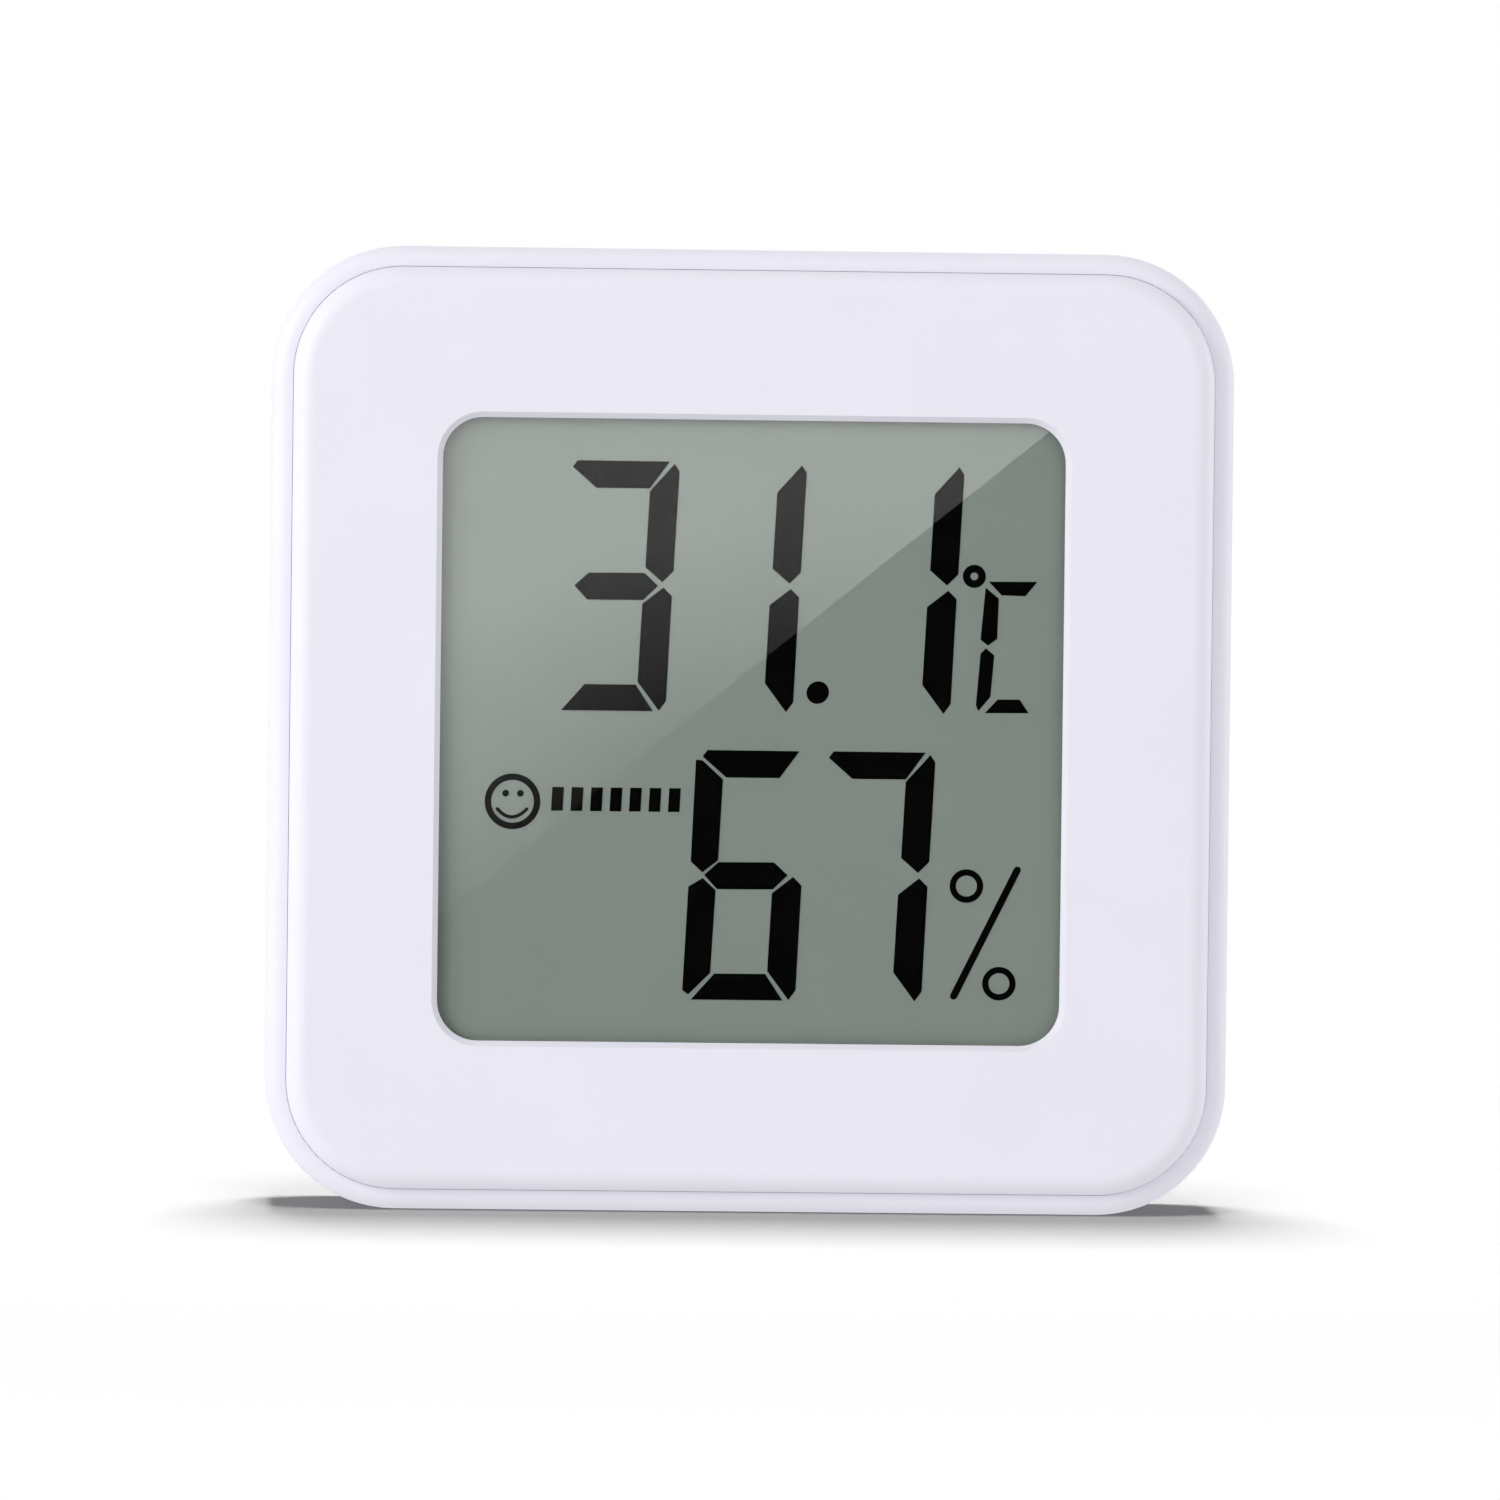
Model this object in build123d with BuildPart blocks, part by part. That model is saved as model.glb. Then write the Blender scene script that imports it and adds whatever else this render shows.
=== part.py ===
from build123d import *
import os

os.makedirs("parts", exist_ok=True)

# Square thermometer and hygrometer with a segment display. All sizes are in millimetres.
# It stands upright on its flat bottom edge. The display faces -Y, +X is to its right, +Z is up.
# The origin is the middle of the bottom edge.

# Case
body_size = 43.0  # width and height
body_depth = 12.0
corner_radius = 5.8
side_wall = 1.5
back_wall = 1.6
rear_edge_chamfer = 0.9
shoulder_width = 0.9  # rim of the tub that shows round the cover
shoulder_radius = 0.75
shoulder_drop = 1.0  # how far the rim lies behind the front face
cover_thickness = 1.5
cover_edge_radius = 0.9
seam_clearance = 0.02
skirt_thickness = 0.9
skirt_depth = 2.0
skirt_clearance = 0.1
overrun = 1.0  # how far every cut runs past the material

# Window
border_width = 7.6  # of the cover, from the outer side of the case to the opening
window_corner_radius = 1.8
window_lip = 0.3
window_lip_chamfer = 0.25
lens_overlap = 0.95
lens_thickness = 0.3
lens_clearance = 0.1
adhesive_thickness = 0.05
adhesive_width = 0.8
gasket_thickness = 0.05
gasket_width = 0.75

# Display
polariser_thickness = 0.2
polariser_inset = 0.3
glass_thickness = 0.55
glass_side_margin = 1.2
glass_end_margin = 0.3
glass_ledge = 1.9  # part of the front glass that carries the contacts
reflector_thickness = 0.2
strip_thickness = 1.4
strip_end_inset = 1.2

# Display carrier
carrier_floor = 1.9
carrier_wall = 0.8
carrier_clearance = 0.1
carrier_wall_drop = 0.1
display_recess_clearance = 0.1  # round the carrier, in the back of the cover
carrier_boss_clearance = 0.2
carrier_rib = 2.4

# Circuit board
board_thickness = 0.8
board_edge_clearance = 0.9
board_corner_chamfer = 1.2

# Snap hooks on the skirt, two on each side, and their recesses in the tub
hook_width = 6.0
hook_reach = 0.3
hook_depth = 0.9
hook_end_gap = 0.1  # from the end of the skirt
hook_taper = 15.0  # degrees, so that the cover goes in more easily than it comes out
hook_clearance = 0.08

# Board screws and their bosses
board_screw_inset = 4.5  # from the outer side of the case to the screw's axis
board_screw_share = 0.73  # of the way from the middle up and down to the corners
boss_radius = 1.45
pilot_clearance = 0.03
board_hole_clearance = 0.12
board_head_radius = 1.2
board_head_height = 0.7
board_shank_radius = 0.65
board_shank_length = 2.6
boss_hole_spare = 0.3

# Button cell and its well
cell_diameter = 11.6
cell_edge_chamfer = 0.3  # of its rear edge
cell_cap_radius = 4.6
cell_cap_height = 0.3
cell_lift = 0.4  # between the board and the cell
door_cell_gap = 0.3
well_clearance = 0.15
well_wall = 1.0
well_board_gap = 0.2

# Battery door, a bayonet
key_door_gap = 0.7  # from the hanging hole down to the door's seat
door_thickness = 1.0
door_overlap = 0.15  # of its rim past the groove for the lugs
door_seat_clearance = 0.1
door_edge_chamfer = 0.2
door_pad_radius = 3.2
door_pad_clearance = 0.05
ring_wall = 0.6
ring_clearance = 0.1
lug_reach = 0.7
lug_width = 4.6
lug_thickness = 0.65
lug_clearance = 0.1
ledge_thickness = 0.8
bayonet_wall = 0.85
bayonet_floor = 0.85
door_turn = 45.0  # degrees from locked to open
coin_slot_length = 9.0
coin_slot_width = 1.5
coin_slot_depth = 0.55
mark_length = 1.0
mark_width = 0.4
mark_depth = 0.2
mark_gap = 0.3  # between a mark and the rim of the door
mark_angle = 180.0  # where the door's mark points when it is locked

# Fold-out stand
stand_inset = 1.1  # from the side of the door to the side of the stand
stand_thickness = 1.5
stand_door_gap = 0.8  # from the door's seat down to the stand's recess
stand_foot_gap = 0.4  # between the foot and the plane that the case stands on
stand_side_clearance = 0.2
stand_floor_clearance = 0.15
stand_pivot_depth = 0.85  # behind the back face
stand_heel_rise = 0.86
stand_heel_step = 0.2
stand_heel_round = 0.5
stand_top_clearance = 1.1
stand_foot_round = 0.6
pin_radius = 0.55
pin_length = 0.75
pin_clearance = 0.05
pin_end_clearance = 0.1
pocket_wall = 1.1
pocket_floor = 0.9
grip_groove_width = 7.0
grip_groove_height = 0.5
grip_groove_depth = 0.25
grip_groove_pitch = 1.1
grip_groove_count = 3
grip_rise = 2.0

# Vents and the chamber round the humidity sensor
vent_length = 6.0
vent_height = 1.0
vent_pitch = 2.1
vent_count = 5
chamber_wall = 0.7
chamber_margin = 0.4
chamber_board_gap = 1.0
chamber_rise = 5.35  # above the inner face of the bottom wall

# Hanging hole
key_inset = 6.5  # from the top of the case down to the middle of the round hole
key_head_radius = 1.8
key_slot_radius = 0.9
key_travel = 2.8
key_plate = 1.0
key_depth = 2.8
key_spare = 0.15
key_wall = 0.7

# Unit button and its switch
button_radius = 2.4
button_clearance = 0.08
button_sink = 0.1  # of its face below the back face
button_edge_chamfer = 0.3
flange_reach = 0.8
flange_thickness = 0.75
flange_gap = 0.1
stem_radius = 1.1
switch_width = 4.2
switch_height = 3.2
switch_thickness = 1.5
plunger_radius = 0.8
plunger_clearance = 0.05
plunger_reach = 0.85
plunger_root = 0.4
plunger_travel = 0.3
plunger_spare = 0.1
plunger_gap = 0.02

# Parts on the board
cap_radius = 4.0
cap_height = 1.0
cap_chamfer = 0.8
sensor_width = 4.4
sensor_height = 7.2
sensor_thickness = 0.6
sensor_leg_height = 0.9
sensor_leg_width = 0.5
sensor_leg_inset = 0.5
bead_radius = 0.75
bead_length = 2.6
bead_inset = 3.4  # from the wall of the stand's recess
lead_width = 0.3
lead_length = 2.2
crystal_radius = 1.0
crystal_length = 6.0
crystal_offset = 3.0  # from the middle of the board to its lead end
crystal_inset = 2.2  # from the top of the board to its axis
chip_length = 1.6
chip_width = 0.8
chip_height = 0.5
# Places of the chips on the board, right and up from its middle
chip_place_shares = [
    (0.10, 0.42),
    (0.18, 0.42),
    (0.26, 0.42),
    (0.34, 0.42),
    (0.32, -0.06),
    (-0.31, 0.02),
    (-0.31, -0.04),
    (0.24, -0.42),
]

# Battery contacts
leaf_thickness = 0.15
leaf_base_length = 7.0
leaf_base_width = 4.2
leaf_width = 2.2
leaf_gap = 0.02
blade_thickness = 0.2
blade_width = 3.0
blade_gap = 0.2  # between the end of the blade and the bayonet's floor
blade_foot = 2.2
blade_slot_clearance = 0.2

# Places that follow from the sizes
half_body = body_size / 2
front_y = -body_depth / 2
back_y = body_depth / 2
rim_y = front_y + shoulder_drop
cover_back_y = front_y + cover_thickness
back_inner_y = back_y - back_wall
seat_size = body_size - 2 * shoulder_width
cover_size = seat_size - 2 * seam_clearance
cavity_size = body_size - 2 * side_wall
cavity_corner_radius = corner_radius - side_wall
skirt_size = cavity_size - 2 * skirt_clearance
skirt_inner_size = skirt_size - 2 * skirt_thickness
skirt_corner_radius = cavity_corner_radius - skirt_clearance

window_size = body_size - 2 * border_width
lens_size = window_size + 2 * lens_overlap
lip_back_y = front_y + window_lip
lens_front_y = lip_back_y + adhesive_thickness
lens_back_y = lens_front_y + lens_thickness
polariser_front_y = lens_back_y + gasket_thickness
front_glass_y = polariser_front_y + polariser_thickness
rear_glass_y = front_glass_y + glass_thickness
reflector_y = rear_glass_y + glass_thickness
carrier_floor_y = reflector_y + reflector_thickness
board_front_y = carrier_floor_y + carrier_floor
board_back_y = board_front_y + board_thickness

glass_width = window_size + 2 * glass_side_margin
rear_glass_height = window_size + 2 * glass_end_margin
front_glass_height = rear_glass_height + 2 * glass_ledge
carrier_width = glass_width + 2 * (carrier_clearance + carrier_wall)
carrier_height = front_glass_height + 2 * (carrier_clearance + carrier_wall)
strip_length = glass_width - 2 * strip_end_inset
strip_rise = (rear_glass_height + glass_ledge) / 2

hook_offset = skirt_size / 4
hook_back_y = cover_back_y + skirt_depth - hook_end_gap
hook_front_y = hook_back_y - hook_depth
boss_offset = half_body - board_screw_inset
boss_rise = board_screw_share * boss_offset
board_size = skirt_inner_size - 2 * board_edge_clearance

cell_radius = cell_diameter / 2
cell_front_y = board_back_y + cell_lift
door_inner_y = back_y - door_thickness
cell_back_y = door_inner_y - door_cell_gap
cell_height = cell_back_y - cell_front_y
well_radius = cell_radius + well_clearance
ring_radius = well_radius + ring_wall
mouth_radius = ring_radius + ring_clearance
lug_radius = ring_radius + lug_reach
groove_radius = lug_radius + ring_clearance
ledge_back_y = door_inner_y - door_seat_clearance / 2
ledge_front_y = ledge_back_y - ledge_thickness
lug_back_y = ledge_front_y - lug_clearance / 2
lug_front_y = lug_back_y - lug_thickness
groove_front_y = lug_front_y - lug_clearance
bayonet_front_y = groove_front_y - bayonet_floor
bayonet_radius = groove_radius + bayonet_wall
door_radius = groove_radius + door_overlap
seat_radius = door_radius + door_seat_clearance
key_z = body_size - key_inset
door_z = key_z - key_head_radius - key_door_gap - seat_radius
blade_height = bayonet_front_y - board_back_y - blade_gap
stand_width = 2 * (door_radius - stand_inset)

pivot_y = back_y - stand_pivot_depth
stand_inner_y = back_y - stand_thickness
pocket_y = stand_inner_y - stand_floor_clearance
pocket_half_width = stand_width / 2 + stand_side_clearance
pocket_top_z = door_z - seat_radius - stand_door_gap
stand_pivot_z = pocket_top_z - stand_top_clearance

button_offset = (bayonet_radius + cavity_size / 2) / 2
button_z = door_z
button_back_y = back_y - button_sink
flange_back_y = back_inner_y - flange_gap
flange_front_y = flange_back_y - flange_thickness
flange_radius = button_radius + flange_reach
switch_back_y = board_back_y + switch_thickness
plunger_back_y = switch_back_y + plunger_reach

vent_span = (vent_count - 1) * vent_pitch + vent_height
vent_offset = (pocket_half_width + pocket_wall + cavity_size / 2) / 2
vent_z = side_wall + chamber_rise + chamber_wall + chamber_margin + vent_span / 2


# A plane across the case at depth y that faces the front, with its middle at x, z
def level(y, x=0, z=half_body):
    return Plane(origin=(x, y, z), x_dir=(1, 0, 0), z_dir=(0, -1, 0))


# An upright plane along the depth that faces +X, with its middle at y, z
def side_level(x, y, z):
    return Plane(origin=(x, y, z), x_dir=(0, 1, 0), z_dir=(1, 0, 0))


# The four corners at one distance from the middle
def corners(offset_x, offset_z):
    return GridLocations(2 * offset_x, 2 * offset_z, 2, 2)


# Two corners that face each other
def diagonal(offset_x, offset_z):
    return Locations((-offset_x, offset_z), (offset_x, -offset_z))


# Front cover: inset plate with a rounded edge, the window opening and its seat,
# a skirt with snap hooks that holds it in the tub, and bosses for the board screws
with BuildPart() as front_shell:
    with BuildSketch(level(cover_back_y)):
        RectangleRounded(cover_size, cover_size, corner_radius - shoulder_width - seam_clearance)
    extrude(amount=cover_thickness)
    fillet(front_shell.faces().sort_by(Axis.Y)[0].edges(), cover_edge_radius)
    with BuildSketch(level(cover_back_y)):
        RectangleRounded(skirt_size, skirt_size, skirt_corner_radius)
        RectangleRounded(
            skirt_inner_size,
            skirt_inner_size,
            skirt_corner_radius - skirt_thickness,
            mode=Mode.SUBTRACT,
        )
    extrude(amount=-skirt_depth)
    with BuildSketch(level(hook_front_y)):
        with GridLocations(2 * hook_offset, skirt_size, 2, 2):
            Rectangle(hook_width, 2 * hook_reach)
        with GridLocations(skirt_size, 2 * hook_offset, 2, 2):
            Rectangle(2 * hook_reach, hook_width)
    extrude(amount=-hook_depth, taper=hook_taper)
    # Recess for the front of the display and its carrier
    with BuildSketch(level(cover_back_y)):
        Rectangle(
            carrier_width + 2 * display_recess_clearance,
            carrier_height + 2 * display_recess_clearance,
        )
    extrude(amount=cover_back_y - polariser_front_y, mode=Mode.SUBTRACT)
    with BuildSketch(level(polariser_front_y)):
        with diagonal(boss_offset, boss_rise):
            Circle(boss_radius)
    extrude(amount=polariser_front_y - board_front_y)
    with BuildSketch(level(board_front_y)):
        with diagonal(boss_offset, boss_rise):
            Circle(board_shank_radius + pilot_clearance)
    extrude(amount=board_shank_length - board_thickness + boss_hole_spare, mode=Mode.SUBTRACT)
    with BuildSketch(level(cover_back_y)):
        Rectangle(lens_size + 2 * lens_clearance, lens_size + 2 * lens_clearance)
    extrude(amount=cover_thickness - window_lip, mode=Mode.SUBTRACT)
    with BuildSketch(level(lip_back_y)):
        RectangleRounded(window_size, window_size, window_corner_radius)
    extrude(amount=window_lip + overrun, mode=Mode.SUBTRACT)
    front_face = front_shell.faces().sort_by(Axis.Y)[0]
    chamfer(front_face.inner_wires()[0].edges(), window_lip_chamfer)
front_shell.part.label = "front_shell"
export_step(front_shell.part, "parts/front_shell.step")

# Rear tub: open at the front, with every hidden feature of the back
with BuildPart() as rear_shell:
    with BuildSketch(level(back_y)):
        RectangleRounded(body_size, body_size, corner_radius)
    extrude(amount=back_y - rim_y)
    chamfer(rear_shell.faces().sort_by(Axis.Y)[-1].edges(), rear_edge_chamfer)
    fillet(rear_shell.faces().sort_by(Axis.Y)[0].edges(), shoulder_radius)
    with BuildSketch(level(back_inner_y)):
        RectangleRounded(cavity_size, cavity_size, cavity_corner_radius)
    extrude(amount=back_inner_y - rim_y + overrun, mode=Mode.SUBTRACT)
    with BuildSketch(level(cover_back_y)):
        RectangleRounded(seat_size, seat_size, corner_radius - shoulder_width)
    extrude(amount=cover_back_y - rim_y + overrun, mode=Mode.SUBTRACT)
    # Recesses for the snap hooks of the cover
    with BuildSketch(level(hook_front_y - hook_clearance)):
        with GridLocations(2 * hook_offset, skirt_size, 2, 2):
            Rectangle(hook_width + 2 * hook_clearance, 2 * (hook_reach + hook_clearance))
        with GridLocations(skirt_size, 2 * hook_offset, 2, 2):
            Rectangle(2 * (hook_reach + hook_clearance), hook_width + 2 * hook_clearance)
    extrude(amount=-(hook_depth + 2 * hook_clearance), mode=Mode.SUBTRACT)
    # Battery well: a slim tube round the cell and a wider drum round the bayonet
    with BuildSketch(level(back_inner_y, z=door_z)):
        Circle(bayonet_radius)
    extrude(amount=back_inner_y - bayonet_front_y)
    with BuildSketch(level(bayonet_front_y, z=door_z)):
        Circle(well_radius + well_wall)
    extrude(amount=bayonet_front_y - board_back_y - well_board_gap)
    # Pocket for the stand, open at the bottom edge
    with BuildSketch(level(back_inner_y, z=0)):
        Rectangle(
            2 * (pocket_half_width + pocket_wall),
            pocket_top_z + pocket_wall - side_wall / 2,
            align=(Align.CENTER, Align.MIN),
        )
        Rectangle(
            2 * (pocket_half_width + pocket_wall),
            side_wall / 2,
            align=(Align.CENTER, Align.MIN),
            mode=Mode.SUBTRACT,
        )
    extrude(amount=back_inner_y - pocket_y + pocket_floor)
    # Pocket behind the hanging hole
    with BuildSketch(level(back_inner_y, z=key_z + key_travel / 2)):
        Rectangle(
            2 * (key_head_radius + key_spare + key_wall),
            key_travel + 2 * (key_head_radius + key_spare + key_wall),
        )
    extrude(amount=back_inner_y - back_y + key_plate + key_depth)
    # Chamber that leads air from the vents to the humidity sensor
    with BuildSketch(level(back_inner_y, x=-vent_offset, z=vent_z)):
        Rectangle(
            vent_length + 2 * (chamber_margin + chamber_wall),
            vent_span + 2 * (chamber_margin + chamber_wall),
        )
        Rectangle(
            vent_length + 2 * chamber_margin,
            vent_span + 2 * chamber_margin,
            mode=Mode.SUBTRACT,
        )
    extrude(amount=back_inner_y - board_back_y - chamber_board_gap)
    # Door seat, mouth with two notches, and the groove in which the lugs turn
    with BuildSketch(level(back_y + overrun, z=door_z)):
        Circle(seat_radius)
    extrude(amount=back_y - ledge_back_y + overrun, mode=Mode.SUBTRACT)
    with BuildSketch(level(ledge_back_y, z=door_z)):
        Circle(groove_radius)
        Rectangle(
            2 * groove_radius,
            lug_width + 2 * ring_clearance,
            rotation=-door_turn,
            mode=Mode.INTERSECT,
        )
        Circle(mouth_radius)
    extrude(amount=ledge_thickness, mode=Mode.SUBTRACT)
    with BuildSketch(level(ledge_front_y, z=door_z)):
        Circle(groove_radius)
    extrude(amount=ledge_front_y - groove_front_y, mode=Mode.SUBTRACT)
    with BuildSketch(level(groove_front_y, z=door_z)):
        Circle(well_radius)
    extrude(amount=groove_front_y - board_back_y, mode=Mode.SUBTRACT)
    # Slot in the well for the blade that touches the side of the cell
    with BuildSketch(level(board_back_y, x=well_radius, z=door_z)):
        Rectangle(
            2 * well_wall + overrun,
            blade_width + 2 * blade_slot_clearance,
        )
    extrude(amount=-(blade_height + blade_slot_clearance), mode=Mode.SUBTRACT)
    # Stand recess and the blind holes for its pins
    with BuildSketch(level(back_y + overrun, z=-overrun)):
        Rectangle(
            2 * pocket_half_width,
            pocket_top_z + overrun,
            align=(Align.CENTER, Align.MIN),
        )
    extrude(amount=back_y - pocket_y + overrun, mode=Mode.SUBTRACT)
    with BuildSketch(side_level(0, pivot_y, stand_pivot_z)):
        Circle(pin_radius + pin_clearance)
    extrude(
        amount=stand_width / 2 + pin_length + pin_end_clearance,
        both=True,
        mode=Mode.SUBTRACT,
    )
    # Vents
    for side in (-1, 1):
        with BuildSketch(level(back_y + overrun, x=side * vent_offset, z=vent_z)):
            with GridLocations(0, vent_pitch, 1, vent_count):
                Rectangle(vent_length, vent_height)
        extrude(amount=back_wall + 2 * overrun, mode=Mode.SUBTRACT)
    # Hanging hole: a keyhole in a thin plate, with room behind it for the screw's head
    with BuildSketch(level(back_y + overrun, z=key_z)):
        Circle(key_head_radius)
        with Locations((0, key_travel / 2)):
            SlotOverall(key_travel + 2 * key_slot_radius, 2 * key_slot_radius, rotation=90)
    extrude(amount=key_plate + overrun, mode=Mode.SUBTRACT)
    with BuildSketch(level(back_y - key_plate, z=key_z + key_travel / 2)):
        Rectangle(
            2 * (key_head_radius + key_spare),
            key_travel + 2 * (key_head_radius + key_spare),
        )
    extrude(amount=key_depth - key_wall, mode=Mode.SUBTRACT)
    # Hole for the unit button
    with BuildSketch(level(back_y + overrun, x=button_offset, z=button_z)):
        Circle(button_radius + button_clearance)
    extrude(amount=back_wall + 2 * overrun, mode=Mode.SUBTRACT)
    # Two lines beside the door, for its locked and open positions
    with BuildSketch(level(back_y + overrun, z=door_z)):
        for angle in (mark_angle, mark_angle - door_turn):
            with PolarLocations(seat_radius + mark_gap + mark_length / 2, 1, start_angle=angle):
                Rectangle(mark_length, mark_width)
    extrude(amount=mark_depth + overrun, mode=Mode.SUBTRACT)
rear_shell.part.label = "rear_shell"
export_step(rear_shell.part, "parts/rear_shell.step")

# Clear window
with BuildPart() as display_window:
    with BuildSketch(level(lens_back_y)):
        Rectangle(lens_size, lens_size)
    extrude(amount=lens_thickness)
display_window.part.label = "display_window"
export_step(display_window.part, "parts/display_window.step")

# Glue frame between the lip and the window
with BuildPart() as window_adhesive:
    with BuildSketch(level(lens_front_y)):
        Rectangle(lens_size, lens_size)
        Rectangle(
            lens_size - 2 * adhesive_width,
            lens_size - 2 * adhesive_width,
            mode=Mode.SUBTRACT,
        )
    extrude(amount=adhesive_thickness)
window_adhesive.part.label = "window_adhesive"
export_step(window_adhesive.part, "parts/window_adhesive.step")

# Foam frame between the window and the display
with BuildPart() as display_gasket:
    with BuildSketch(level(polariser_front_y)):
        Rectangle(lens_size, lens_size)
        Rectangle(
            lens_size - 2 * gasket_width,
            lens_size - 2 * gasket_width,
            mode=Mode.SUBTRACT,
        )
    extrude(amount=gasket_thickness)
display_gasket.part.label = "display_gasket"
export_step(display_gasket.part, "parts/display_gasket.step")

# Polarising film on the front glass
with BuildPart() as lcd_front_polariser:
    with BuildSketch(level(front_glass_y)):
        Rectangle(glass_width - 2 * polariser_inset, front_glass_height - 2 * polariser_inset)
    extrude(amount=polariser_thickness)
lcd_front_polariser.part.label = "lcd_front_polariser"
export_step(lcd_front_polariser.part, "parts/lcd_front_polariser.step")

# Front glass, taller than the rear glass by a contact ledge at each end
with BuildPart() as lcd_front_glass:
    with BuildSketch(level(rear_glass_y)):
        Rectangle(glass_width, front_glass_height)
    extrude(amount=glass_thickness)
lcd_front_glass.part.label = "lcd_front_glass"
export_step(lcd_front_glass.part, "parts/lcd_front_glass.step")

# Rear glass
with BuildPart() as lcd_rear_glass:
    with BuildSketch(level(reflector_y)):
        Rectangle(glass_width, rear_glass_height)
    extrude(amount=glass_thickness)
lcd_rear_glass.part.label = "lcd_rear_glass"
export_step(lcd_rear_glass.part, "parts/lcd_rear_glass.step")

# Reflector with the rear polariser
with BuildPart() as lcd_reflector:
    with BuildSketch(level(carrier_floor_y)):
        Rectangle(glass_width - 2 * polariser_inset, rear_glass_height - 2 * polariser_inset)
    extrude(amount=reflector_thickness)
lcd_reflector.part.label = "lcd_reflector"
export_step(lcd_reflector.part, "parts/lcd_reflector.step")

# Rubber contact strips between the ledges of the front glass and the board
with BuildPart() as connector_strip_upper:
    with BuildSketch(level(board_front_y, z=half_body + strip_rise)):
        Rectangle(strip_length, strip_thickness)
    extrude(amount=board_front_y - rear_glass_y)
connector_strip_upper.part.label = "connector_strip_upper"
export_step(connector_strip_upper.part, "parts/connector_strip_upper.step")

with BuildPart() as connector_strip_lower:
    with BuildSketch(level(board_front_y, z=half_body - strip_rise)):
        Rectangle(strip_length, strip_thickness)
    extrude(amount=board_front_y - rear_glass_y)
connector_strip_lower.part.label = "connector_strip_lower"
export_step(connector_strip_lower.part, "parts/connector_strip_lower.step")

# Carrier: a floor behind the reflector, with a low wall round the glass
with BuildPart() as lcd_carrier:
    with BuildSketch(level(board_front_y)):
        Rectangle(carrier_width, carrier_height)
    extrude(amount=board_front_y - front_glass_y - carrier_wall_drop)
    with BuildSketch(level(carrier_floor_y)):
        Rectangle(
            glass_width + 2 * carrier_clearance,
            front_glass_height + 2 * carrier_clearance,
        )
    extrude(amount=carrier_floor_y - front_glass_y, mode=Mode.SUBTRACT)
    with BuildSketch(level(board_front_y)):
        with GridLocations(0, 2 * strip_rise, 1, 2):
            Rectangle(
                strip_length + 2 * carrier_clearance,
                strip_thickness + 2 * carrier_clearance,
            )
    extrude(amount=carrier_floor, mode=Mode.SUBTRACT)
    opening_size = (rear_glass_height - 3 * carrier_rib) / 2
    with BuildSketch(level(board_front_y)):
        with corners((opening_size + carrier_rib) / 2, (opening_size + carrier_rib) / 2):
            Rectangle(opening_size, opening_size)
    extrude(amount=carrier_floor, mode=Mode.SUBTRACT)
    with BuildSketch(level(board_front_y)):
        with diagonal(boss_offset, boss_rise):
            Circle(boss_radius + carrier_boss_clearance)
    extrude(amount=board_front_y - front_glass_y, mode=Mode.SUBTRACT)
lcd_carrier.part.label = "lcd_carrier"
export_step(lcd_carrier.part, "parts/lcd_carrier.step")

# Circuit board
with BuildPart() as circuit_board:
    with BuildSketch(level(board_back_y)):
        Rectangle(board_size, board_size)
    extrude(amount=board_thickness)
    chamfer(circuit_board.edges().filter_by(Axis.Y), board_corner_chamfer)
    with BuildSketch(level(board_back_y)):
        with diagonal(boss_offset, boss_rise):
            Circle(board_shank_radius + board_hole_clearance)
    extrude(amount=board_thickness, mode=Mode.SUBTRACT)
circuit_board.part.label = "circuit_board"
export_step(circuit_board.part, "parts/circuit_board.step")

# Moulded drop over the controller chip
with BuildPart() as controller_cap:
    cap_z = (half_body - board_size / 2 + door_z - well_radius - well_wall) / 2
    with BuildSketch(level(board_back_y + cap_height, z=cap_z)):
        Circle(cap_radius)
    extrude(amount=cap_height)
    chamfer(controller_cap.faces().sort_by(Axis.Y)[-1].edges(), cap_chamfer)
controller_cap.part.label = "controller_cap"
export_step(controller_cap.part, "parts/controller_cap.step")

# Humidity sensor: a small comb plate on two legs
with BuildPart() as humidity_sensor:
    sensor_front_y = board_back_y + sensor_leg_height
    with BuildSketch(level(sensor_front_y + sensor_thickness, x=-vent_offset, z=vent_z)):
        Rectangle(sensor_width, sensor_height)
    extrude(amount=sensor_thickness)
    leg_rise = sensor_height / 2 - sensor_leg_inset - sensor_leg_width / 2
    with BuildSketch(level(sensor_front_y, x=-vent_offset, z=vent_z)):
        with GridLocations(0, 2 * leg_rise, 1, 2):
            Rectangle(sensor_width - 2 * sensor_leg_inset, sensor_leg_width)
    extrude(amount=sensor_leg_height)
humidity_sensor.part.label = "humidity_sensor"
export_step(humidity_sensor.part, "parts/humidity_sensor.step")

# Thermistor: a bead with a flat lead at each end, bent down to the board
with BuildPart() as thermistor:
    bead_x = pocket_half_width + pocket_wall + bead_inset
    bead_y = board_back_y + bead_radius
    lead_span = bead_length + 2 * lead_length
    with BuildSketch(Plane(origin=(bead_x, bead_y, vent_z), x_dir=(1, 0, 0), z_dir=(0, 0, 1))):
        Circle(bead_radius)
    extrude(amount=bead_length / 2, both=True)
    with BuildSketch(level(bead_y, x=bead_x, z=vent_z)):
        Rectangle(lead_width, lead_span)
    extrude(amount=lead_width / 2, both=True)
    with BuildSketch(level(bead_y, x=bead_x, z=vent_z)):
        with GridLocations(0, lead_span - lead_width, 1, 2):
            Rectangle(lead_width, lead_width)
    extrude(amount=bead_radius)
thermistor.part.label = "thermistor"
export_step(thermistor.part, "parts/thermistor.step")

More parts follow.
